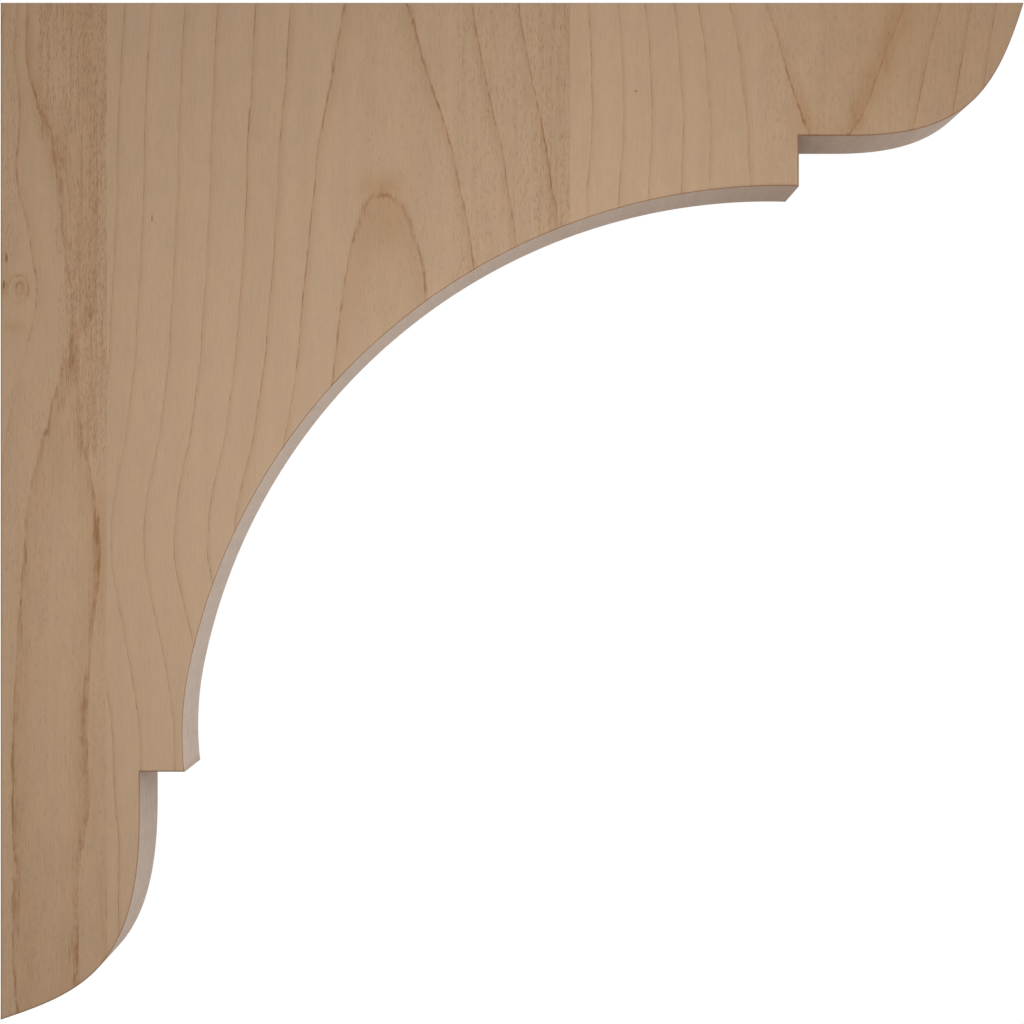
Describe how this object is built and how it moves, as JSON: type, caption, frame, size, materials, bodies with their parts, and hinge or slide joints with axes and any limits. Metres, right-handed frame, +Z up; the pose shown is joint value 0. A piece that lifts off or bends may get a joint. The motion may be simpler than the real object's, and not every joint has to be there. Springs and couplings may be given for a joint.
{
  "type": "corbel bracket",
  "caption": "Solid wood corbel bracket: a leg for the wall and an arm for a shelf, joined by a sawn arch with stepped ends and rounded lobes.",
  "frame": {"origin": "centre of the wall face, the flat back edge of the leg", "axes": "+X out from the wall along the arm, +Z up, Y across the thickness; the wall face lies in the plane x = 0 and the shelf face is the top"},
  "size_m": [0.254, 0.0444, 0.2524],
  "materials": {
    "hardwood": "bare, fine sanded, matte"
  },
  "bodies": {
    "root": {"wall_stave": "hardwood", "middle_stave": "hardwood", "nose_stave": "hardwood"}
  },
  "joints": []
}
